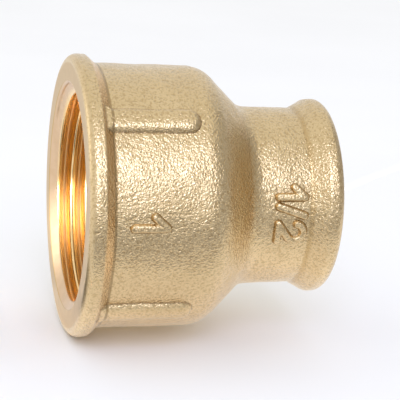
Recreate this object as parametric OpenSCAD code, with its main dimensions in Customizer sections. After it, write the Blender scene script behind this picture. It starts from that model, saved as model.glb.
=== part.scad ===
// Reducing coupling: a forged brass socket that joins a 1 pipe to a 1/2 pipe.
// The pipe axis is X. The large end faces -X, the small end faces +X, and the
// origin is on the axis at mid-length. The raised size marks face -Y.
// All sizes are in millimetres.

/* [Length and walls] */
// Overall length along the pipe axis
total_length = 38.8; // [38.4:0.1:42]
// Radius of the large barrel beside the bead
large_barrel_r = 19.7; // [19.4:0.1:20]
// Radius of the small barrel
small_barrel_r = 13.5; // [13:0.1:13.8]
// How much each barrel tapers away from its bead, on the radius
draft = 0.15; // [0.05:0.05:0.3]

/* [Beads] */
// Radius of the large bead
large_bead_r = 21; // [20.6:0.1:22]
// Width of the large bead, from the end face to the foot of its back flank
large_bead_w = 3.8; // [3.7:0.1:4.6]
// Length of the large bead's back flank
large_flank_w = 1.5; // [1.2:0.1:1.9]
// Radius of the small bead
small_bead_r = 14.7; // [14.4:0.1:15.2]
// Width of the small bead, from the end face to the foot of its back flank
small_bead_w = 4.7; // [4.3:0.1:5]
// Length of the small bead's back flank
small_flank_w = 2.4; // [1.8:0.1:2.4]
// Rounding of the large bead's outer corner, along the axis and on the radius
large_round = [1.3, 1.3]; // [1:0.1:1.6]
// Rounding of the small bead's outer corner, along the axis and on the radius
small_round = [1.5, 1.6]; // [1:0.1:1.6]

/* [Shoulder] */
// Distance from the large face to the start of the shoulder
shoulder_start = 17.3; // [17:0.1:17.8]
// Radius of the convex bend, seen in section
convex_r = 4.9; // [3:0.1:5.5]
// Radius of the concave bend, seen in section
concave_r = 3.2; // [2:0.1:4]
// Slope of the shoulder from the pipe axis, in degrees
shoulder_angle = 44; // [42:1:50]

/* [Threads] */
// Major radius of the large thread, G1
large_major_r = 16.6245; // [16.5:0.0005:16.7]
// Minor radius of the large thread, G1
large_minor_r = 15.1455; // [15.1:0.0005:15.3]
// Pitch of the large thread, 11 to the inch
large_pitch = 2.309; // [2.309]
// Number of full grooves in the large socket
large_turns = 6; // [4:1:6]
// Major radius of the small thread, G1/2
small_major_r = 10.4775; // [10.4:0.0005:10.5]
// Minor radius of the small thread, G1/2
small_minor_r = 9.3155; // [9.3:0.0005:9.4]
// Pitch of the small thread, 14 to the inch
small_pitch = 1.814; // [1.814]
// Number of full grooves in the small socket
small_turns = 6; // [4:1:6]
// How far a mouth's chamfer opens past the major radius
mouth_clear = 0.4; // [0.4:0.1:1]

/* [Waterway] */
// Depth of the large socket, from its face to the start of the inner cone
large_depth = 17.6; // [17:0.1:18.5]
// Depth of the small socket, from its face to the stop
small_depth = 14; // [13.5:0.1:15]
// Radius of the waterway at the stop
waterway_r = 8.7; // [8:0.1:9]

/* [Grip ribs] */
// Number of ribs around the large barrel
rib_count = 4; // [4]
// Turn of the first rib from the side that faces -Y, in degrees
rib_turn = 46; // [40:1:50]
// Width of a rib at its foot
rib_foot_w = 4.4; // [3:0.1:6]
// Width of a rib at its crest
rib_crest_w = 2.6; // [2:0.1:4]
// Radius of the ribs' crests
rib_r = 20.6; // [20.2:0.1:20.6]
// Distance from the large face to a rib's far end
rib_end = 16.6; // [15:0.1:17]

/* [Size marks] */
// Height of the marks above the barrel
mark_rise = 0.6; // [0.3:0.1:0.8]
// Width of a mark's stroke
stroke_w = 1.1; // [0.6:0.1:1.2]
// Height of the mark on the large barrel
large_mark_h = 6; // [4:0.1:6.5]
// Height of the marks on the small barrel
small_mark_h = 5.2; // [4:0.1:5.4]
// Distance from the large face to the middle of the large mark
large_mark_x = 8.8; // [8:0.1:12]
// Distance from the large face to the middle of the small mark
small_mark_x = 30.9; // [30.6:0.1:31]
// Turn of the marks from the side that faces -Y, upwards, in degrees
mark_turn = 2; // [-5:1:5]

/* [Hidden] */

brass = [0.80, 0.68, 0.45];
arc_steps = 10;
overshoot = 1;          // how far a cutter runs past what it cuts
half = total_length / 2;
thread_flank = 27.5;    // half of the 55 degree thread form
rib_root = 2;           // how deep a rib's blank reaches under the barrel
rib_nose = 1;           // length of the slope at a rib's far end
rib_nose_sink = 0.4;    // how far that slope runs under the barrel

// Shapes and places of the figures, as shares of their height
large_mark_shift = 0.11;                     // how far the large mark lies below its middle line
small_mark_shifts = [-0.46, -0.07, 0.55];    // the same for the small one, slash and two
flag = [0.27, 0.3];                          // reach and drop of the flag of the one
slash_lean = 0.13;                           // half of the slash's lean
bowl_share = 0.25;                           // radius of the bowl of the two
$fn = 120;

// Points of an arc about a centre, from one angle to another; a point is [x, r]
function arc(centre, radii, from, to) = [
    for (i = [0 : arc_steps])
        let (a = from + (to - from) * i / arc_steps)
        [centre[0] + radii[0] * cos(a), centre[1] + radii[1] * sin(a)]
];

// Outer skin of the forging in section, from the large face to the small face
function skin() =
    let (
        convex_top = large_barrel_r - draft,
        convex_end = [shoulder_start + convex_r * sin(shoulder_angle),
                      convex_top - convex_r * (1 - cos(shoulder_angle))],
        concave_drop = concave_r * (1 - cos(shoulder_angle)),
        slope = (convex_end[1] - small_barrel_r - concave_drop) / tan(shoulder_angle),
        concave_x = convex_end[0] + slope + concave_r * sin(shoulder_angle)
    )
    concat(
        arc([large_round[0], large_bead_r - large_round[1]], large_round, 180, 90),
        [[large_bead_w - large_flank_w, large_bead_r],
         [large_bead_w, large_barrel_r]],
        arc([shoulder_start, convex_top - convex_r], [convex_r, convex_r], 90, 90 - shoulder_angle),
        arc([concave_x, small_barrel_r + concave_r], [concave_r, concave_r],
            270 - shoulder_angle, 270),
        [[total_length - small_bead_w, small_barrel_r - draft],
         [total_length - small_bead_w + small_flank_w, small_bead_r]],
        arc([total_length - small_round[0], small_bead_r - small_round[1]], small_round, 90, 0)
    );

// Turns a section of [distance from the large face, radius] points about the pipe axis
module turned(points) {
    translate([-half, 0, 0])
        rotate([0, 90, 0])
            rotate_extrude()
                polygon([for (p = points) [p[1], p[0]]]);
}

// The forging with nothing bored out of it
module envelope() {
    turned(concat([[0, 0]], skin(), [[total_length, 0]]));
}

// Section of one closed groove of the thread form, centred on x
function groove(x, minor_r, major_r, pitch) =
    let (
        root = pitch / 12,
        mouth = root + (major_r - minor_r) * tan(thread_flank),
        inside = minor_r - overshoot
    )
    [[x - mouth, inside], [x - mouth, minor_r], [x - root, major_r],
     [x + root, major_r], [x + mouth, minor_r], [x + mouth, inside]];

// Bore, mouth chamfer and thread grooves of a socket whose mouth is at distance
// face, and which runs in the direction side: 1 away from the large face, -1 towards it
module socket(face, side, depth, minor_r, major_r, pitch, turns) {
    mouth_r = major_r + mouth_clear;
    chamfer = mouth_r - minor_r;
    turned([[face - side * overshoot, 0],
            [face - side * overshoot, mouth_r],
            [face, mouth_r],
            [face + side * chamfer, minor_r],
            [face + side * depth, minor_r],
            [face + side * depth, 0]]);
    for (i = [1 : turns])
        turned(groove(face + side * (chamfer + (i - 0.5) * pitch), minor_r, major_r, pitch));
}

// Inner cone from the large socket to the stop, and the short waterway behind it
module waterway() {
    cone = large_minor_r - waterway_r;
    turned([[large_depth - overshoot, 0],
            [large_depth - overshoot, large_minor_r],
            [large_depth, large_minor_r],
            [large_depth + cone, waterway_r],
            [total_length - small_depth + overshoot, waterway_r],
            [total_length - small_depth + overshoot, 0]]);
}

module coupling_body() {
    color(brass)
        difference() {
            envelope();
            socket(0, 1, large_depth, large_minor_r, large_major_r, large_pitch, large_turns);
            socket(total_length, -1, small_depth, small_minor_r, small_major_r, small_pitch,
                   small_turns);
            waterway();
        }
}

// One raised bar along the large barrel; each number is a quarter turn further round
module grip_rib(number) {
    start = large_bead_w - large_flank_w;
    foot_r = large_barrel_r - rib_root;
    color(brass)
        difference() {
            intersection() {
                turned([[start, foot_r], [start, rib_r], [rib_end - rib_nose, rib_r],
                        [rib_end, large_barrel_r - rib_nose_sink], [rib_end, foot_r]]);
                rotate([rib_turn + (number - 1) * 360 / rib_count, 0, 0])
                    translate([-half, 0, 0])
                        rotate([90, 0, 90])
                            linear_extrude(height = total_length)
                                polygon([[-large_bead_r, -rib_crest_w / 2],
                                         [-large_bead_r, rib_crest_w / 2],
                                         [-large_barrel_r, rib_foot_w / 2],
                                         [-foot_r, rib_foot_w / 2],
                                         [-foot_r, -rib_foot_w / 2],
                                         [-large_barrel_r, -rib_foot_w / 2]]);
            }
            envelope();
        }
}

module grip_rib_1() { grip_rib(1); }
module grip_rib_2() { grip_rib(2); }
module grip_rib_3() { grip_rib(3); }
module grip_rib_4() { grip_rib(4); }

// A straight stroke of a mark between two points
module stroke(a, b) {
    along = b - a;
    reach = norm(along);
    translate(a)
        rotate(atan2(along[1], along[0]))
            translate([-stroke_w / 2, -stroke_w / 2])
                square([reach + stroke_w, stroke_w]);
}

// The figure one, h high, with its foot at the origin
module figure_one(h) {
    top = h - stroke_w / 2;
    stroke([0, stroke_w / 2], [0, top]);
    stroke([-flag[0] * h, top - flag[1] * h], [0, top]);
}

// The figure two, h high, with the middle of its foot at the origin
module figure_two(h) {
    bowl_r = bowl_share * h;
    foot_y = stroke_w / 2;
    bowl_y = h - bowl_r - stroke_w / 2;
    turns = [for (a = [170 : -30 : -40]) [bowl_r * cos(a), bowl_y + bowl_r * sin(a)]];
    for (i = [0 : len(turns) - 2])
        stroke(turns[i], turns[i + 1]);
    stroke(turns[len(turns) - 1], [-bowl_r, foot_y]);
    stroke([-bowl_r, foot_y], [bowl_r, foot_y]);
}

// The slanting bar between the two figures
module slash(h) {
    stroke([-slash_lean * h, stroke_w / 2], [slash_lean * h, h - stroke_w / 2]);
}

// Raises flat figures from the barrel at distance x, with their tops towards +X.
// Their reading direction runs downwards on the side that faces -Y.
module raised(x, h, skin_r) {
    difference() {
        intersection() {
            translate([x - half - h / 2, 0, 0])
                rotate([90 - mark_turn, 0, 0])
                    rotate([0, 0, -90])
                        linear_extrude(height = skin_r + 2 * mark_rise)
                            children();
            turned([[x - h, 0], [x - h, skin_r + mark_rise],
                    [x + h, skin_r + mark_rise], [x + h, 0]]);
        }
        envelope();
    }
}

module large_size_mark() {
    color(brass)
        raised(large_mark_x, large_mark_h, large_barrel_r)
            translate([large_mark_shift * large_mark_h, 0]) figure_one(large_mark_h);
}

module small_size_mark() {
    h = small_mark_h;
    color(brass)
        raised(small_mark_x, h, small_barrel_r) {
            translate([small_mark_shifts[0] * h, 0]) figure_one(h);
            translate([small_mark_shifts[1] * h, 0]) slash(h);
            translate([small_mark_shifts[2] * h, 0]) figure_two(h);
        }
}

coupling_body();
grip_rib_1();
grip_rib_2();
grip_rib_3();
grip_rib_4();
large_size_mark();
small_size_mark();
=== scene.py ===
"""The looks of a forged brass reducing coupling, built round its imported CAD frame.

The pipe axis is X, the large end faces -X and the raised size marks face -Y. The whole
coupling is one rigid body. Sizes are in metres, and distances along the pipe are counted
from the large face unless a name says otherwise.
"""

import math

import bpy
import numpy as np
from mathutils import Matrix, Vector


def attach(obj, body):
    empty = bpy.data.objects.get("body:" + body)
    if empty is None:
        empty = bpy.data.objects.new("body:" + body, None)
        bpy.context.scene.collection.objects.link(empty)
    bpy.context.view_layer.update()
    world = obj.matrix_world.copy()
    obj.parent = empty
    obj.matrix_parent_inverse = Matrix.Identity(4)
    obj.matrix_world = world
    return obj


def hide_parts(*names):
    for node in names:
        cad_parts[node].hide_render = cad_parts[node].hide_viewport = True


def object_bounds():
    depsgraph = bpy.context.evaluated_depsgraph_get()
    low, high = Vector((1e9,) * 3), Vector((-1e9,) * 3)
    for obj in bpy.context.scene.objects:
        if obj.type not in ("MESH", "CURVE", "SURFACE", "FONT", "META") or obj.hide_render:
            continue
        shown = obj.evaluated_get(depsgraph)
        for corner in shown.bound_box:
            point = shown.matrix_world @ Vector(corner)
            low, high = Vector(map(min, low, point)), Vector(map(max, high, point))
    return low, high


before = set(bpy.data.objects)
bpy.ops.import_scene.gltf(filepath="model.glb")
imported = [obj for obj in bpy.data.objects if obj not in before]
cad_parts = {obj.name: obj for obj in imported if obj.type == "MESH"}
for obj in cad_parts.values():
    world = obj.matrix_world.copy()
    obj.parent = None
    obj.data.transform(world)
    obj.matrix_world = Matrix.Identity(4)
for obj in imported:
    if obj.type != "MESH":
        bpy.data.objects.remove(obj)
cad_low, cad_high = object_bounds()

MM = 0.001
TURN = 2 * math.pi

# ---------------------------------------------------------------- driving sizes
LENGTH = cad_high.x - cad_low.x
LARGE_FACE_X = cad_low.x

# Large bead and barrel
BEAD_R = 20.97 * MM
BEAD_ROUND = 1.3 * MM
BEAD_BAND = 2.35 * MM
BEAD_BAND_ROUND = 0.55 * MM
BEAD_WIDTH = 3.75 * MM
BEAD_FILLET = 0.45 * MM
BARREL_R = 19.7 * MM
BARREL_DRAFT = 0.15 * MM

# Shoulder and small barrel
SHOULDER_START = 17.3 * MM
SHOULDER_ANGLE = math.radians(44)
CONVEX_R = 4.9 * MM
CONCAVE_R = 3.2 * MM
NECK_R = 13.5 * MM

# Small bead, with its foot and crest measured from the small face
SMALL_BEAD_R = 14.7 * MM
SMALL_BEAD_FOOT = 4.75 * MM
SMALL_BEAD_FILLET = 0.7 * MM
SMALL_BEAD_CREST = 2.3 * MM
SMALL_CREST_ROUND = 1.0 * MM
SMALL_BEAD_ROUND = 1.55 * MM

# Sockets. The thread's radii are minor and major. The depth and the first crest, on the side
# that faces +Y, are measured from the socket's own face. step is the spacing of the mesh's
# rings, and mouth_round is the rounding between the face and the mouth's chamfer.
LARGE_SOCKET = {
    "minor": 15.1455 * MM,
    "major": 16.6245 * MM,
    "pitch": 2.309 * MM,
    "depth": 17.6 * MM,
    "crest": 3.45 * MM,
    "step": 0.14 * MM,
    "mouth_round": 0.18 * MM,
}
SMALL_SOCKET = {
    "minor": 9.3155 * MM,
    "major": 10.4775 * MM,
    "pitch": 1.814 * MM,
    "depth": 14.0 * MM,
    "crest": 2.6 * MM,
    "step": 0.125 * MM,
    "mouth_round": 0.15 * MM,
}
# The mouth is wider than the major radius by this much, and narrows by the slope
MOUTH_CLEAR = 0.42 * MM
MOUTH_SLOPE = math.tan(math.radians(57))
# How far inside a mouth the skin's mesh meets the socket's
MOUTH_SEAM = 0.35 * MM
# Whitworth form: half the angle between flanks, and the rounding as a share of the pitch
THREAD_FLANK = math.radians(27.5)
THREAD_ROUND = 0.137329
# Length without thread at a socket's floor
BLANK_END = 1.4 * MM
WATERWAY_R = 8.7 * MM
CONE_ROUND = 0.25 * MM
STOP_ROUND = 0.1 * MM

# Raised ribs and size marks
RIB_START = 2.5 * MM
RIB_END = 16.6 * MM
RIB_NOSE = 1.8 * MM
RIB_HALF_WIDTH = 2.05 * MM
RIB_RISE = 0.9 * MM
RIB_FILLET = 0.12 * MM
RIB_MARGIN = 0.4 * MM
RIB_ANGLES = [46, 136, 226, 316]
MARK_TURN = math.radians(2)
MARK_RISE = 0.6 * MM
MARK_FILLET = 0.06 * MM
MARK_SIDE_MARGIN = 0.25 * MM
MARK_END_MARGIN = 0.3 * MM
STROKE_HALF = 0.66 * MM
LARGE_MARK_X = 8.8 * MM
LARGE_MARK_H = 6.0 * MM
SMALL_MARK_X = 30.9 * MM
SMALL_MARK_H = 5.2 * MM
# The higher this power, the flatter a raised feature's crest and the steeper its flanks
CREST_POWER = 4
# How far a raised feature's edge lies under the skin, and how deep its root reaches
RAISED_SINK = 0.025 * MM
RAISED_ROOT = 0.5 * MM
# Heights above the skin between which the shading at a raised feature's foot fades out
CREASE_LOW = 0.06 * MM
CREASE_HIGH = 0.28 * MM

# Shapes and places of the figures, as shares of their height
FLAG_REACH = 0.27
FLAG_DROP = 0.3
BOWL_RADIUS = 0.25
SLASH_LEAN = 0.13
LARGE_MARK_SHIFT = 0.11
SMALL_ONE_SHIFT = -0.46
SMALL_SLASH_SHIFT = -0.07
SMALL_TWO_SHIFT = 0.55

# Forged unevenness: depths of the slow and the quick waves, and how far the skin is drawn in
SLOW_DEPTH = 0.030 * MM
QUICK_DEPTH = 0.010 * MM
SKIN_SINK = 0.07 * MM
# Length of each turned end, and the length over which the forged skin takes over from it
TURNED_LARGE = 1.3 * MM
LARGE_FADE = 0.9 * MM
TURNED_SMALL = 0.9 * MM
SMALL_FADE = 0.8 * MM
# How far inwards from an end face the machined finish is taken on the skin's own mesh
MACHINED_REACH = 0.5 * MM

# ---------------------------------------------------------------- mesh density
SKIN_STEP = 0.42 * MM
SKIN_COLUMNS = 312
BORE_COLUMNS = SKIN_COLUMNS // 2
WATERWAY_STEP = 0.5 * MM
RIB_STEP = 0.14 * MM
MARK_STEP = 0.09 * MM


# ---------------------------------------------------------------- sections
def unit(arrow):
    return arrow / np.linalg.norm(arrow)


def rounded_path(corners, arc_steps=8):
    """Points of a polyline of (x, r, radius) corners, with each corner rounded to its radius."""
    points = [np.array(corners[0][:2])]
    for before, here, after in zip(corners, corners[1:], corners[2:]):
        corner = np.array(here[:2])
        radius = here[2]
        back = unit(np.array(before[:2]) - corner)
        ahead = unit(np.array(after[:2]) - corner)
        half = math.acos(max(-1.0, min(1.0, back @ ahead))) / 2
        if radius <= 0 or abs(half - math.pi / 2) < 1e-4:
            points.append(corner)
            continue
        centre = corner + unit(back + ahead) * radius / math.sin(half)
        start = corner + back * radius / math.tan(half) - centre
        end = corner + ahead * radius / math.tan(half) - centre
        sweep = math.pi - 2 * half
        for i in range(arc_steps + 1):
            t = i / arc_steps
            arm = (math.sin((1 - t) * sweep) * start + math.sin(t * sweep) * end) / math.sin(sweep)
            points.append(centre + arm)
    points.append(np.array(corners[-1][:2]))
    return np.array(points)


def subdivided(points, step):
    """The same polyline with no stretch longer than step."""
    out = [points[0]]
    for a, b in zip(points, points[1:]):
        count = max(1, math.ceil(np.linalg.norm(b - a) / step))
        out += [a + (b - a) * i / count for i in range(1, count + 1)]
    return np.array(out)


def skin_section():
    """The forging's outside, from just inside the large mouth to just inside the small mouth."""
    large_mouth = LARGE_SOCKET["major"] + MOUTH_CLEAR
    small_mouth = SMALL_SOCKET["major"] + MOUTH_CLEAR
    barrel_end = BARREL_R - BARREL_DRAFT
    bend_x = SHOULDER_START + CONVEX_R * math.tan(SHOULDER_ANGLE / 2)
    neck_x = bend_x + (barrel_end - NECK_R) / math.tan(SHOULDER_ANGLE)
    corners = [
        (MOUTH_SEAM, large_mouth - MOUTH_SEAM * MOUTH_SLOPE, 0),
        (0, large_mouth, LARGE_SOCKET["mouth_round"]),
        (0, BEAD_R, BEAD_ROUND),
        (BEAD_BAND, BEAD_R, BEAD_BAND_ROUND),
        (BEAD_WIDTH, BARREL_R, BEAD_FILLET),
        (bend_x, barrel_end, CONVEX_R),
        (neck_x, NECK_R, CONCAVE_R),
        (LENGTH - SMALL_BEAD_FOOT, NECK_R - BARREL_DRAFT, SMALL_BEAD_FILLET),
        (LENGTH - SMALL_BEAD_CREST, SMALL_BEAD_R, SMALL_CREST_ROUND),
        (LENGTH, SMALL_BEAD_R, SMALL_BEAD_ROUND),
        (LENGTH, small_mouth, SMALL_SOCKET["mouth_round"]),
        (LENGTH - MOUTH_SEAM, small_mouth - MOUTH_SEAM * MOUTH_SLOPE, 0),
    ]
    return subdivided(rounded_path(corners), SKIN_STEP)


SKIN = skin_section()


def skin_radius(x):
    """Radius of the outside at distance x, for places away from the two end faces."""
    outside = (SKIN[:, 0] > 1.0 * MM) & (SKIN[:, 0] < LENGTH - 1.2 * MM)
    return np.interp(x, SKIN[outside, 0], SKIN[outside, 1])


# ---------------------------------------------------------------- forged unevenness
def wave_set(seed, count, shortest, longest):
    """Wave vectors and phases of sine waves that add up to a smooth unevenness."""
    rng = np.random.default_rng(seed)
    arrows = rng.normal(size=(count, 3))
    arrows /= np.linalg.norm(arrows, axis=1)[:, None]
    lengths = rng.uniform(shortest, longest, count)
    return arrows * (TURN / lengths)[:, None], rng.uniform(0, TURN, count)


SLOW_WAVES = wave_set(11, 26, 3.5 * MM, 9 * MM)
QUICK_WAVES = wave_set(12, 40, 1.1 * MM, 2.2 * MM)


def unevenness(points):
    """How far the forged skin lies from its nominal place, in metres, at points in the frame."""
    total = np.zeros(len(points))
    for (vectors, phases), depth in ((SLOW_WAVES, SLOW_DEPTH), (QUICK_WAVES, QUICK_DEPTH)):
        waves = np.sin(points @ vectors.T + phases)
        total += depth * waves.sum(1) / math.sqrt(len(phases) / 2)
    return total


def forged_share(x):
    """0 on the turned ends of the fitting, rising to 1 on the forged skin between them."""
    large = np.clip((x - TURNED_LARGE) / LARGE_FADE, 0, 1)
    small = np.clip((LENGTH - TURNED_SMALL - x) / SMALL_FADE, 0, 1)
    share = np.minimum(large, small)
    return share * share * (3 - 2 * share)


def skin_lift(x, points):
    """The unevenness that the skin is given at distance x, which never takes it outwards."""
    return np.minimum(unevenness(points) - SKIN_SINK, 0) * forged_share(x)


def is_turned(point):
    """Whether a point of the skin's section lies on an end face or inside a mouth."""
    large = point[0] < LENGTH / 2
    inward = point[0] if large else LENGTH - point[0]
    rim = BEAD_R - BEAD_ROUND if large else SMALL_BEAD_R - SMALL_BEAD_ROUND
    return inward < MACHINED_REACH and point[1] < rim


def on_axis(x, r, angle):
    """Points at distance x from the large face, radius r and angle about +X, from +Y to +Z."""
    x, r, angle = np.broadcast_arrays(x, r, angle)
    return np.stack([LARGE_FACE_X + x, r * np.cos(angle), r * np.sin(angle)], -1)


# ---------------------------------------------------------------- threads
def thread_rise(phase, pitch, depth):
    """Height of the 55 degree thread form above its crest, at a phase where a crest is 0."""
    round_r = THREAD_ROUND * pitch
    reach = round_r * math.cos(THREAD_FLANK)
    to_crest = np.minimum(phase, 1 - phase) * pitch
    to_root = pitch / 2 - to_crest
    arc_rise = round_r * (1 - math.sin(THREAD_FLANK))
    crest = round_r - np.sqrt(np.maximum(round_r**2 - to_crest**2, 0))
    root = depth - (round_r - np.sqrt(np.maximum(round_r**2 - to_root**2, 0)))
    line = arc_rise + (to_crest - reach) / math.tan(THREAD_FLANK)
    return np.where(to_crest < reach, crest, np.where(to_root < reach, root, line))


def socket_rings(socket, small_end):
    """Rings of a tapped socket, from just inside its mouth to its floor."""
    minor, major, pitch = socket["minor"], socket["major"], socket["pitch"]
    depth = socket["depth"]
    count = math.ceil((depth - MOUTH_SEAM) / socket["step"])
    inward = np.linspace(MOUTH_SEAM, depth, count + 1)[:, None]
    angle = np.linspace(0, TURN, BORE_COLUMNS, endpoint=False)[None, :]
    along = LENGTH - inward if small_end else inward
    crest_along = LENGTH - socket["crest"] if small_end else socket["crest"]
    phase = ((along - crest_along) / pitch - angle / TURN) % 1.0
    runout = np.clip((depth - BLANK_END - inward) / pitch, 0, 1)
    tapped = minor + thread_rise(phase, pitch, major - minor) * runout
    radius = np.maximum(tapped, major + MOUTH_CLEAR - inward * MOUTH_SLOPE)
    return list(on_axis(along, radius, angle))


def waterway_rings():
    """Rings of the inner cone and the waterway, from the large socket to the small one."""
    start = LARGE_SOCKET["depth"]
    cone = LARGE_SOCKET["minor"] - WATERWAY_R
    stop = LENGTH - SMALL_SOCKET["depth"]
    corners = [
        (start, LARGE_SOCKET["minor"], 0),
        (start + cone, WATERWAY_R, CONE_ROUND),
        (stop - STOP_ROUND, WATERWAY_R, STOP_ROUND),
        (stop, SMALL_SOCKET["minor"], 0),
    ]
    section = subdivided(rounded_path(corners, 4), WATERWAY_STEP)[1:-1]
    angle = np.linspace(0, TURN, BORE_COLUMNS, endpoint=False)
    return [on_axis(x, r, angle) for x, r in section]


# ---------------------------------------------------------------- mesh helpers
def add_piece(name, vertices, faces, materials, face_material=None):
    """A smooth-shaded mesh object with these vertices and faces."""
    mesh = bpy.data.meshes.new(name)
    mesh.from_pydata(vertices.tolist(), [], faces)
    for material in materials:
        mesh.materials.append(material)
    if face_material is not None:
        mesh.polygons.foreach_set("material_index", face_material)
    mesh.polygons.foreach_set("use_smooth", [True] * len(mesh.polygons))
    mesh.update()
    piece = bpy.data.objects.new(name, mesh)
    bpy.context.scene.collection.objects.link(piece)
    return piece


def outward(vertices, faces):
    """The faces of a closed surface, all turned round if they look inwards."""
    triangles = [f[:3] for f in faces] + [[f[0], f[2], f[3]] for f in faces if len(f) == 4]
    triangles = np.array(triangles)
    a, b, c = (vertices[triangles[:, i]] for i in range(3))
    if (a * np.cross(b, c)).sum() > 0:
        return faces
    return [tuple(reversed(f)) for f in faces]


def ring_faces(first, count, second, second_count):
    """Faces between two closed rings of vertices that start at these indices.
    A ring may meet one of half its count."""
    faces = []
    if count == second_count:
        for i in range(count):
            j = (i + 1) % count
            faces.append((first + i, first + j, second + j, second + i))
    elif count == 2 * second_count:
        for i in range(second_count):
            j = (i + 1) % second_count
            a, b, c = first + 2 * i, first + 2 * i + 1, first + (2 * i + 2) % count
            faces += [(a, b, second + i), (b, c, second + j), (b, second + j, second + i)]
    else:
        turned = ring_faces(second, second_count, first, count)
        faces = [tuple(reversed(f)) for f in turned]
    return faces


# ---------------------------------------------------------------- the forging
def skin_rings():
    """Rings of the outside, moved along its normal by the forged unevenness."""
    angle = np.linspace(0, TURN, SKIN_COLUMNS, endpoint=False)
    slope = np.gradient(SKIN, axis=0)
    normal = np.stack([-slope[:, 1], slope[:, 0]], 1)
    normal /= np.linalg.norm(normal, axis=1)[:, None]
    rings = []
    for (x, r), (out_x, out_r) in zip(SKIN, normal):
        lift = skin_lift(x, on_axis(x, r, angle))
        rings.append(on_axis(x + out_x * lift, r + out_r * lift, angle))
    return rings


def coupling_shell(forged, machined):
    """The whole forging as one closed surface: skin, end faces, sockets and waterway."""
    rings = skin_rings()
    skin_count = len(rings)
    rings += socket_rings(SMALL_SOCKET, True)[1:]
    rings += reversed(waterway_rings())
    rings += reversed(socket_rings(LARGE_SOCKET, False)[1:])
    starts = np.cumsum([0] + [len(r) for r in rings])
    faces = []
    face_material = []
    for i, ring in enumerate(rings):
        j = (i + 1) % len(rings)
        made = ring_faces(int(starts[i]), len(ring), int(starts[j]), len(rings[j]))
        machined_here = i >= skin_count - 1 or is_turned((SKIN[i] + SKIN[i + 1]) / 2)
        faces += made
        face_material += [int(machined_here)] * len(made)
    vertices = np.concatenate(rings)
    faces = outward(vertices, faces)
    return add_piece("coupling_shell", vertices, faces, [forged, machined], face_material)


# ---------------------------------------------------------------- raised features
def soft_floor(height, blend):
    """height where it is well above 0, 0 where it is well below, with a fillet between."""
    near = np.maximum(blend - np.abs(height), 0)
    return np.maximum(height, 0) + near * near / (4 * blend)


def spaced(low, high, step):
    return np.linspace(low, high, max(2, math.ceil((high - low) / step) + 1))


def walled_grid(cells):
    """A closed solid over the filled cells of a grid: its faces, and its corners as
    (row, column, whether it is on top) in the order in which the faces number them."""
    corners = {}
    faces = []

    def corner(place, upper):
        return corners.setdefault((*place, upper), len(corners))

    def filled(i, j):
        return 0 <= i < cells.shape[0] and 0 <= j < cells.shape[1] and cells[i, j]

    for i, j in zip(*np.nonzero(cells)):
        square = [(i, j), (i + 1, j), (i + 1, j + 1), (i, j + 1)]
        beyond = [(i, j - 1), (i + 1, j), (i, j + 1), (i - 1, j)]
        faces.append(tuple(corner(a, True) for a in square))
        faces.append(tuple(corner(a, False) for a in reversed(square)))
        for a, b, neighbour in zip(square, square[1:] + square[:1], beyond):
            if not filled(*neighbour):
                faces.append((corner(b, True), corner(a, True), corner(a, False), corner(b, False)))
    return list(corners), faces


def raised_piece(name, along, across, turn, height, material):
    """A closed solid that stands out of the skin by height, a grid over distance along the
    pipe and length across it. turn is the angle of its middle. Where height is 0 its top
    lies just under the skin, and the cells beyond that are left out."""
    x, w = np.meshgrid(along, across, indexing="ij")
    radius = skin_radius(x)
    angle = turn + w / radius
    nominal = on_axis(x, radius, angle)
    lift = skin_lift(x.ravel(), nominal.reshape(-1, 3)).reshape(x.shape)
    top = on_axis(x, radius + lift + height - RAISED_SINK, angle)
    floor = on_axis(x, radius - RAISED_ROOT, angle)
    crease = 1 - np.clip((height - CREASE_LOW) / (CREASE_HIGH - CREASE_LOW), 0, 1)
    solid = height > 0
    cells = solid[:-1, :-1] | solid[1:, :-1] | solid[:-1, 1:] | solid[1:, 1:]
    corners, faces = walled_grid(cells)
    vertices = np.array([(top if upper else floor)[i, j] for i, j, upper in corners])
    piece = add_piece(name, vertices, outward(vertices, faces), [material])
    shades = {"crease": [crease[i, j] for i, j, _ in corners], "raised": [1.0] * len(corners)}
    for label, values in shades.items():
        piece.data.attributes.new(label, "FLOAT", "POINT").data.foreach_set("value", values)
    return piece


def grip_rib(number, material):
    """A raised bar that runs out of the large bead's flank and ends rounded on the barrel."""
    side = RIB_HALF_WIDTH + RIB_MARGIN
    along = spaced(RIB_START, RIB_END + RIB_MARGIN, RIB_STEP)
    across = spaced(-side, side, RIB_STEP)
    x, w = np.meshgrid(along, across, indexing="ij")
    past = np.maximum(x - (RIB_END - RIB_NOSE), 0) / RIB_NOSE
    reach = np.sqrt((w / RIB_HALF_WIDTH) ** 2 + past**2)
    height = soft_floor(RIB_RISE * (1 - reach**CREST_POWER), RIB_FILLET)
    below_crest = BARREL_R + RIB_RISE - skin_radius(x)
    height = np.maximum(np.minimum(height, below_crest), 0)
    turn = math.pi - math.radians(RIB_ANGLES[number - 1])
    return raised_piece(f"rib_{number}", along, across, turn, height, material)


def stroke_height(u, v, strokes):
    """Height of raised strokes, each a list of points, at places u across and v up a figure."""
    nearest = np.full(u.shape, 1.0)
    for points in strokes:
        for (au, av), (bu, bv) in zip(points, points[1:]):
            du, dv = bu - au, bv - av
            t = np.clip(((u - au) * du + (v - av) * dv) / (du * du + dv * dv), 0, 1)
            nearest = np.minimum(nearest, np.hypot(u - au - t * du, v - av - t * dv))
    return soft_floor(MARK_RISE * (1 - (nearest / STROKE_HALF) ** CREST_POWER), MARK_FILLET)


def figure_one(h):
    """Strokes of a one, h high, with its foot at the origin."""
    top = h - STROKE_HALF
    return [[(0, STROKE_HALF), (0, top)], [(-FLAG_REACH * h, top - FLAG_DROP * h), (0, top)]]


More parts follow.
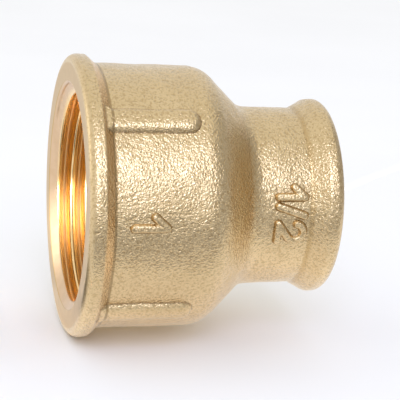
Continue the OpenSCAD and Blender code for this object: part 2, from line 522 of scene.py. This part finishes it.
def figure_two(h):
    """Strokes of a two, h high, with the middle of its foot at the origin."""
    bowl_r = BOWL_RADIUS * h
    bowl_v = h - bowl_r - STROKE_HALF
    foot = STROKE_HALF
    turns = [math.radians(170 - 15 * i) for i in range(15)]
    bowl = [(bowl_r * math.cos(a), bowl_v + bowl_r * math.sin(a)) for a in turns]
    return [bowl + [(-bowl_r, foot)], [(-bowl_r, foot), (bowl_r, foot)]]


def slash(h):
    """The slanting bar between two figures."""
    return [[(-SLASH_LEAN * h, STROKE_HALF), (SLASH_LEAN * h, h - STROKE_HALF)]]


def raised_figure(name, strokes, middle_x, h, shift, material):
    """A figure whose top points to +X and which reads downwards on the side that faces -Y.
    shift moves it along the reading direction, by a share of its height h."""
    offset = shift * h
    us = [p[0] for stroke in strokes for p in stroke]
    side = STROKE_HALF + MARK_SIDE_MARGIN
    end = h / 2 + MARK_END_MARGIN
    along = spaced(middle_x - end, middle_x + end, MARK_STEP)
    across = spaced(min(us) + offset - side, max(us) + offset + side, MARK_STEP)
    x, w = np.meshgrid(along, across, indexing="ij")
    height = stroke_height(w - offset, x - middle_x + h / 2, strokes)
    return raised_piece(name, along, across, math.pi - MARK_TURN, height, material)


# ---------------------------------------------------------------- materials
class Shader:
    """Short calls for building one node material. Lengths in its textures are millimetres,
    and its x, y and z are places from mid-length on the pipe axis."""

    def __init__(self, name):
        self.material = bpy.data.materials.new(name)
        self.material.use_nodes = True
        self.nodes = self.material.node_tree.nodes
        self.surface = self.nodes["Principled BSDF"]
        metres = self.nodes.new("ShaderNodeTexCoord").outputs["Object"]
        scale = (1 / MM, 1 / MM, 1 / MM)
        scaled = self.node("ShaderNodeVectorMath", {0: metres, 1: scale}, operation="MULTIPLY")
        self.place = scaled.outputs[0]
        self.x, self.y, self.z = self.node("ShaderNodeSeparateXYZ", {0: self.place}).outputs

    def feed(self, socket, value):
        """Links value to the socket if it is one itself, or else sets it."""
        if isinstance(value, bpy.types.NodeSocket):
            self.material.node_tree.links.new(value, socket)
        else:
            socket.default_value = value

    def node(self, kind, inputs=(), **settings):
        made = self.nodes.new(kind)
        for key, value in settings.items():
            setattr(made, key, value)
        for key, value in dict(inputs).items():
            self.feed(made.inputs[key], value)
        return made

    def noise(self, size, detail=2.0, roughness=0.5, place=None, distortion=0.0):
        """Smooth noise from 0 to 1 with features of about this size."""
        inputs = {"Vector": place or self.place, "Scale": 0.6 / size, "Detail": detail,
                  "Roughness": roughness, "Distortion": distortion}
        return self.node("ShaderNodeTexNoise", inputs).outputs[0]

    def ramp(self, value, low, high, to_low=0.0, to_high=1.0):
        """to_low where value is at low or past it, to_high at high, and smooth between."""
        inputs = {0: value, 1: low, 2: high, 3: to_low, 4: to_high}
        made = self.node("ShaderNodeMapRange", inputs, interpolation_type="SMOOTHSTEP")
        return made.outputs[0]

    def band(self, value, start, full, fading, gone):
        """1 where value is from full to fading, and 0 below start and above gone."""
        return self.calc("MULTIPLY", self.ramp(value, start, full), self.ramp(value, gone, fading))

    def calc(self, operation, a, b=0.0):
        return self.node("ShaderNodeMath", {0: a, 1: b}, operation=operation).outputs[0]

    def attribute(self, name):
        return self.node("ShaderNodeAttribute", attribute_name=name).outputs["Fac"]

    def mix(self, factor, a, b):
        """Blend of two colours."""
        made = self.node("ShaderNodeMix", {"Factor": factor}, data_type="RGBA")
        for socket, colour in ((made.inputs[6], a), (made.inputs[7], b)):
            self.feed(socket, (*colour, 1) if isinstance(colour, tuple) else colour)
        return made.outputs[2]

    def tint(self, colour, mask, strength, other):
        """colour, turned towards another by strength where mask is 1."""
        return self.mix(self.calc("MULTIPLY", mask, strength), colour, other)

    def bump(self, height, distance, strength=1.0, normal=None):
        inputs = {"Height": height, "Distance": distance, "Strength": strength}
        if normal is not None:
            inputs["Normal"] = normal
        return self.node("ShaderNodeBump", inputs).outputs[0]

    def radius(self):
        """Distance from the pipe axis."""
        flat = self.node("ShaderNodeCombineXYZ", {1: self.y, 2: self.z}).outputs[0]
        return self.node("ShaderNodeVectorMath", {0: flat}, operation="LENGTH").outputs["Value"]

    def from_end(self):
        """Distance along the pipe from the nearer end face."""
        return self.calc("SUBTRACT", LENGTH / MM / 2, self.calc("ABSOLUTE", self.x))

    def finish(self, **sockets):
        for name, value in sockets.items():
            self.feed(self.surface.inputs[name.replace("_", " ")], value)
        return self.material


# Colours of the brass, and of the shade and reflection painted on it. Where there are two, slow
# noise blends between them.
FORGED_GOLD = ((0.725, 0.545, 0.29), (0.765, 0.58, 0.315))
PIT_BROWN = (0.50, 0.335, 0.14)
# Painted reflection: orange in the groove behind the large bead
GROOVE_REFLECTION_ORANGE = (0.82, 0.47, 0.16)
# Painted shade: dark brown at the foot of the large bead's rear flank
FLANK_FOOT_SHADE_BROWN = (0.33, 0.22, 0.09)
# Painted shade: deeper, darker gold over the shoulder and neck
NECK_SHADE_GOLD = (0.62, 0.41, 0.14)
# Painted shade: brown at the foot of the small bead
SMALL_FOOT_SHADE_BROWN = (0.50, 0.32, 0.11)
# Painted shade: dark brown at the feet of the ribs and size marks
CREASE_SHADE_BROWN = (0.30, 0.18, 0.07)
THREAD_GOLD = ((0.95, 0.68, 0.33), (0.97, 0.72, 0.37))
FACE_GOLD = ((0.57, 0.38, 0.15), (0.61, 0.41, 0.17))
CHAMFER_GOLD = ((0.70, 0.49, 0.295), (0.74, 0.53, 0.335))
ROOT_BROWN = (0.62, 0.30, 0.09)

# All the places below are in millimetres.
# Stretches of the skin with painted shade and, in the groove, painted reflection, from mid-length:
# where the colour starts, is full, starts to fade and is gone
GROOVE_BAND = (-17.3, -16.8, -15.8, -15.2)
FLANK_FOOT_BAND = (-15.85, -15.7, -15.45, -15.3)
NECK_BAND = (-0.5, 3.0, 3.5, 7.0)
SMALL_FOOT_BAND = (14.1, 14.5, 14.7, 15.3)
# Heights over which the groove's painted reflection grows stronger upwards, and its strength at
# either end of them
GROOVE_REFLECTION_HEIGHTS = (-9.0, -4.0)
GROOVE_REFLECTION_STRENGTHS = (0.12, 0.5)
# Distances from an end face over which the blasted grain sets in, the face's colour ends, the
# chamfer's colour ends and the thread roots' colour sets in
BLAST_START = (0.3, 1.0)
FACE_END = (0.03, 0.12)
CHAMFER_END = (0.9, 1.3)
ROOTS_START = (1.0, 1.4)
# Radii over which each thread's root colour comes in, and where the small socket starts
LARGE_ROOT_RADII = (15.8, 16.4)
SMALL_ROOT_RADII = (9.9, 10.3)
SMALL_SOCKET_START = (4.0, 5.0)

# Depths of the bumps, in metres, and the grain's strength beside the turned ends
WRINKLE_BUMP = 0.13 * MM
FINE_BUMP = 0.01 * MM
TURNING_BUMP = 0.004 * MM
LEAST_BLASTED = 0.25


def painted_shade_and_reflection(s, colour):
    """colour with painted shade and painted reflection: deepened in the groove behind the large
    bead, at the neck, and at the feet of the small bead and of the raised features."""
    # Painted reflection: the groove is tinted orange, more strongly higher up, and not on raised
    # features
    groove_reflection = s.ramp(s.z, *GROOVE_REFLECTION_HEIGHTS, *GROOVE_REFLECTION_STRENGTHS)
    on_skin = s.calc("SUBTRACT", 1.0, s.attribute("raised"))
    groove_reflection = s.calc("MULTIPLY", groove_reflection, on_skin)
    colour = s.tint(colour, s.band(s.x, *GROOVE_BAND), groove_reflection, GROOVE_REFLECTION_ORANGE)
    # Painted shade at the foot of the large bead's rear flank
    colour = s.tint(colour, s.band(s.x, *FLANK_FOOT_BAND), 0.75, FLANK_FOOT_SHADE_BROWN)
    # Painted shade over the shoulder and neck
    colour = s.tint(colour, s.band(s.x, *NECK_BAND), 0.6, NECK_SHADE_GOLD)
    # Painted shade at the foot of the small bead
    colour = s.tint(colour, s.band(s.x, *SMALL_FOOT_BAND), 0.5, SMALL_FOOT_SHADE_BROWN)
    # Painted shade at the feet of the ribs and marks, from the crease attribute
    return s.tint(colour, s.attribute("crease"), 0.75, CREASE_SHADE_BROWN)


def forged_brass():
    """Sand-blasted forged brass: a wrinkled, sparkling grain over a pale gold."""
    s = Shader("forged_brass")
    blasted = s.ramp(s.from_end(), *BLAST_START, LEAST_BLASTED, 1.0)
    wrinkle = s.noise(0.22, 1.0, 0.5, distortion=0.5)
    grain = s.noise(0.12, 1.0, 0.6)
    height = s.calc("ADD", wrinkle, s.calc("MULTIPLY", grain, 0.35))
    patches = s.ramp(s.noise(3.5, 3.0), 0.35, 0.65)
    pits = s.ramp(height, 0.72, 0.48, 0.0, 0.62)
    pitted = s.mix(pits, s.mix(patches, *FORGED_GOLD), PIT_BROWN)
    wrinkled = s.bump(height, WRINKLE_BUMP, blasted)
    return s.finish(
        Base_Color=painted_shade_and_reflection(s, pitted),
        Metallic=1.0,
        Roughness=s.ramp(blasted, LEAST_BLASTED, 1.0, 0.38, 0.23),
        Coat_Weight=0.3,
        Coat_Roughness=0.1,
        Coat_IOR=1.6,
        Coat_Normal=wrinkled,
        Normal=s.bump(s.noise(0.06, 1.0, 0.5), FINE_BUMP, 0.5, wrinkled),
    )


def thread_roots(s):
    """1 in the roots of both threads, 0 on their crests and everywhere else."""
    radius = s.radius()
    large = s.ramp(radius, *LARGE_ROOT_RADII)
    in_small = s.ramp(s.x, *SMALL_SOCKET_START)
    small = s.calc("MULTIPLY", s.ramp(radius, *SMALL_ROOT_RADII), in_small)
    past_mouth = s.ramp(s.from_end(), *ROOTS_START)
    return s.calc("MULTIPLY", s.calc("MAXIMUM", large, small), past_mouth)


def machined_brass():
    """Bright turned brass: satin on the end faces and chamfers, deeper and duller in the
    thread roots, with fine turning lines."""
    s = Shader("machined_brass")
    from_end = s.from_end()
    root = thread_roots(s)
    worn = s.ramp(s.noise(0.8, 3.0), 0.3, 0.7)
    face = s.mix(worn, *FACE_GOLD)
    chamfer = s.mix(worn, *CHAMFER_GOLD)
    thread = s.mix(worn, *THREAD_GOLD)
    past_face = s.ramp(from_end, *FACE_END)
    past_chamfer = s.ramp(from_end, *CHAMFER_END)
    gold = s.mix(past_chamfer, s.mix(past_face, face, chamfer), thread)
    satin = s.ramp(from_end, *CHAMFER_END, 0.32, 0.17)
    lines = s.node("ShaderNodeCombineXYZ", {0: s.x, 1: s.radius()}).outputs[0]
    return s.finish(
        Base_Color=s.tint(gold, root, 0.35, ROOT_BROWN),
        Metallic=1.0,
        Roughness=s.calc("ADD", satin, s.calc("MULTIPLY", root, 0.2)),
        Normal=s.bump(s.noise(0.05, 2.0, 0.6, lines), TURNING_BUMP, 0.6),
    )


# ---------------------------------------------------------------- studio
# Azimuths and elevations are in degrees, as direction() takes them
CAMERA_AZIMUTH = -13.7
CAMERA_ELEVATION = 13.5
CAMERA_ROLL = math.radians(3.09)
CAMERA_DISTANCE = 0.260
CAMERA_LENS = 155.3
LOOK_AT = Vector((-0.6 * MM, 0, 0))
AIM_RIGHT = math.radians(0.336)
AIM_DOWN = math.radians(0.171)

FLOOR_Z = cad_low.z
FLOOR_HALF = 3.0
CARD_Z = FLOOR_Z + 0.001
SURROUND = 0.9

SPOT_DIRECTION = (-46, 5)
SPOT_DISTANCE = 0.5
SPOT_TARGET = Vector((LARGE_FACE_X + 4.6 * MM, 15.5 * MM, -8.0 * MM))


def direction(azimuth, elevation):
    """Unit vector at an azimuth from -Y towards +X and an elevation, both in degrees."""
    az, el = math.radians(azimuth), math.radians(elevation)
    return Vector((math.sin(az) * math.cos(el), -math.cos(az) * math.cos(el), math.sin(el)))


def level_corners(low_x, high_x, low_y, high_y, z):
    return [(low_x, low_y, z), (high_x, low_y, z), (high_x, high_y, z), (low_x, high_y, z)]


def mottled_paint(name, dark, light, **sockets):
    """A matt paint that varies slowly between two close colours."""
    s = Shader(name)
    tone = s.ramp(s.noise(40, 3.0), 0.3, 0.7)
    return s.finish(Base_Color=s.mix(tone, dark, light), Roughness=0.9, **sockets)


def add_sheet(name, corners, paint):
    """A flat four-cornered part of the stage."""
    return add_piece(name, np.array(corners), [(0, 1, 2, 3)], [paint])


def add_floor():
    corners = level_corners(-FLOOR_HALF, FLOOR_HALF, -FLOOR_HALF, FLOOR_HALF, FLOOR_Z)
    paint = mottled_paint("floor_paint", (0.95, 0.95, 0.93), (0.97, 0.97, 0.95))
    floor = add_sheet("studio_floor", corners, paint)


def add_card(name, corners, tone, glow=0.0):
    """A grey card that only shows in reflections, and may glow."""
    lighter = tone * 1.1
    paint = mottled_paint(name, (tone, tone, tone), (lighter, lighter, lighter),
                          Emission_Color=(1, 1, 1, 1), Emission_Strength=glow)
    card = add_sheet(name, corners, paint)
    card.visible_camera = False
    card.visible_diffuse = False
    card.visible_shadow = False


def add_cards():
    """Cards on the floor in front, under the object and beside the mouth, and one on the right."""
    add_card("front_card", level_corners(-0.1, 0.3, -0.14, -0.035, CARD_Z), 0.36)
    add_card("under_card", level_corners(-0.03, 0.03, -0.016, 0.02, CARD_Z), 0.8, 0.3)
    add_card("mouth_card", level_corners(-0.055, -0.027, -0.014, 0.014, CARD_Z), 0.05)
    x, near, far, top = 0.12, -0.21, 0.09, 0.16
    upright = [(x, near, CARD_Z), (x, far, CARD_Z), (x, far, top), (x, near, top)]
    add_card("right_card", upright, 0.43)


def add_lamp(light, target, toward, distance):
    """Hangs a light at a distance from target, towards a direction, and turns it to target."""
    lamp = bpy.data.objects.new(light.name, light)
    lamp.location = target + toward * distance
    lamp.rotation_euler = toward.to_track_quat("Z", "Y").to_euler()
    bpy.context.scene.collection.objects.link(lamp)


def add_soft_box(name, azimuth, elevation, distance, size, power, colour=(1, 1, 1)):
    """A square soft box that looks at the object."""
    light = bpy.data.lights.new(name, "AREA")
    light.size = size
    light.energy = power
    light.color = colour
    add_lamp(light, Vector((0, 0, 0)), direction(azimuth, elevation), distance)


def add_mouth_spot():
    """A narrow beam from the left that only falls inside the large socket."""
    light = bpy.data.lights.new("mouth_spot", "SPOT")
    light.energy = 350
    light.spot_size = math.radians(0.56)
    light.spot_blend = 1.0
    light.shadow_soft_size = 0.004
    add_lamp(light, SPOT_TARGET, direction(*SPOT_DIRECTION), SPOT_DISTANCE)


def add_surround():
    """An even white light from all round."""
    world = bpy.data.worlds.new("studio")
    world.use_nodes = True
    background = world.node_tree.nodes["Background"]
    background.inputs[0].default_value = (1, 1, 1, 1)
    background.inputs[1].default_value = SURROUND
    bpy.context.scene.world = world


def add_lights():
    add_soft_box("key", azimuth=-8, elevation=34, distance=1.0, size=0.56, power=3.35,
                 colour=(0.89, 0.975, 1.48))
    add_soft_box("side_fill", azimuth=-118, elevation=12, distance=1.2, size=0.4, power=0.8)
    add_mouth_spot()
    add_cards()
    add_surround()
    bpy.context.scene.view_settings.view_transform = "Standard"


def add_camera():
    back = direction(CAMERA_AZIMUTH, CAMERA_ELEVATION)
    level = direction(CAMERA_AZIMUTH + 90, 0)
    upright = back.cross(level)
    right = math.cos(CAMERA_ROLL) * level + math.sin(CAMERA_ROLL) * upright
    up = math.cos(CAMERA_ROLL) * upright - math.sin(CAMERA_ROLL) * level
    aim = (back - math.tan(AIM_RIGHT) * right + math.tan(AIM_DOWN) * up).normalized()
    right = up.cross(aim).normalized()
    turned = Matrix((right, aim.cross(right), aim)).transposed().to_4x4()
    camera = bpy.data.objects.new("camera", bpy.data.cameras.new("camera"))
    camera.data.lens = CAMERA_LENS
    camera.data.sensor_width = 36
    camera.data.clip_start = 0.01
    camera.matrix_world = Matrix.Translation(LOOK_AT + back * CAMERA_DISTANCE) @ turned
    bpy.context.scene.collection.objects.link(camera)
    bpy.context.scene.camera = camera


# ---------------------------------------------------------------- the coupling
def place(piece, node, slot="forged_brass"):
    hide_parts(node)
    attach(piece, "root")


def add_large_mark(forged):
    h = LARGE_MARK_H
    one = raised_figure("large_mark_one", figure_one(h), LARGE_MARK_X, h, LARGE_MARK_SHIFT, forged)
    place(one, "large_size_mark")


def add_small_mark(forged):
    h = SMALL_MARK_H
    figures = {
        "small_mark_one": (figure_one(h), SMALL_ONE_SHIFT),
        "small_mark_slash": (slash(h), SMALL_SLASH_SHIFT),
        "small_mark_two": (figure_two(h), SMALL_TWO_SHIFT),
    }
    for name, (strokes, shift) in figures.items():
        figure = raised_figure(name, strokes, SMALL_MARK_X, h, shift, forged)
        place(figure, "small_size_mark")


def build():
    add_camera()
    forged = forged_brass()
    place(coupling_shell(forged, machined_brass()), "coupling_body")
    for number in range(1, len(RIB_ANGLES) + 1):
        place(grip_rib(number, forged), f"grip_rib_{number}")
    add_large_mark(forged)
    add_small_mark(forged)
    add_floor()
    add_lights()


build()
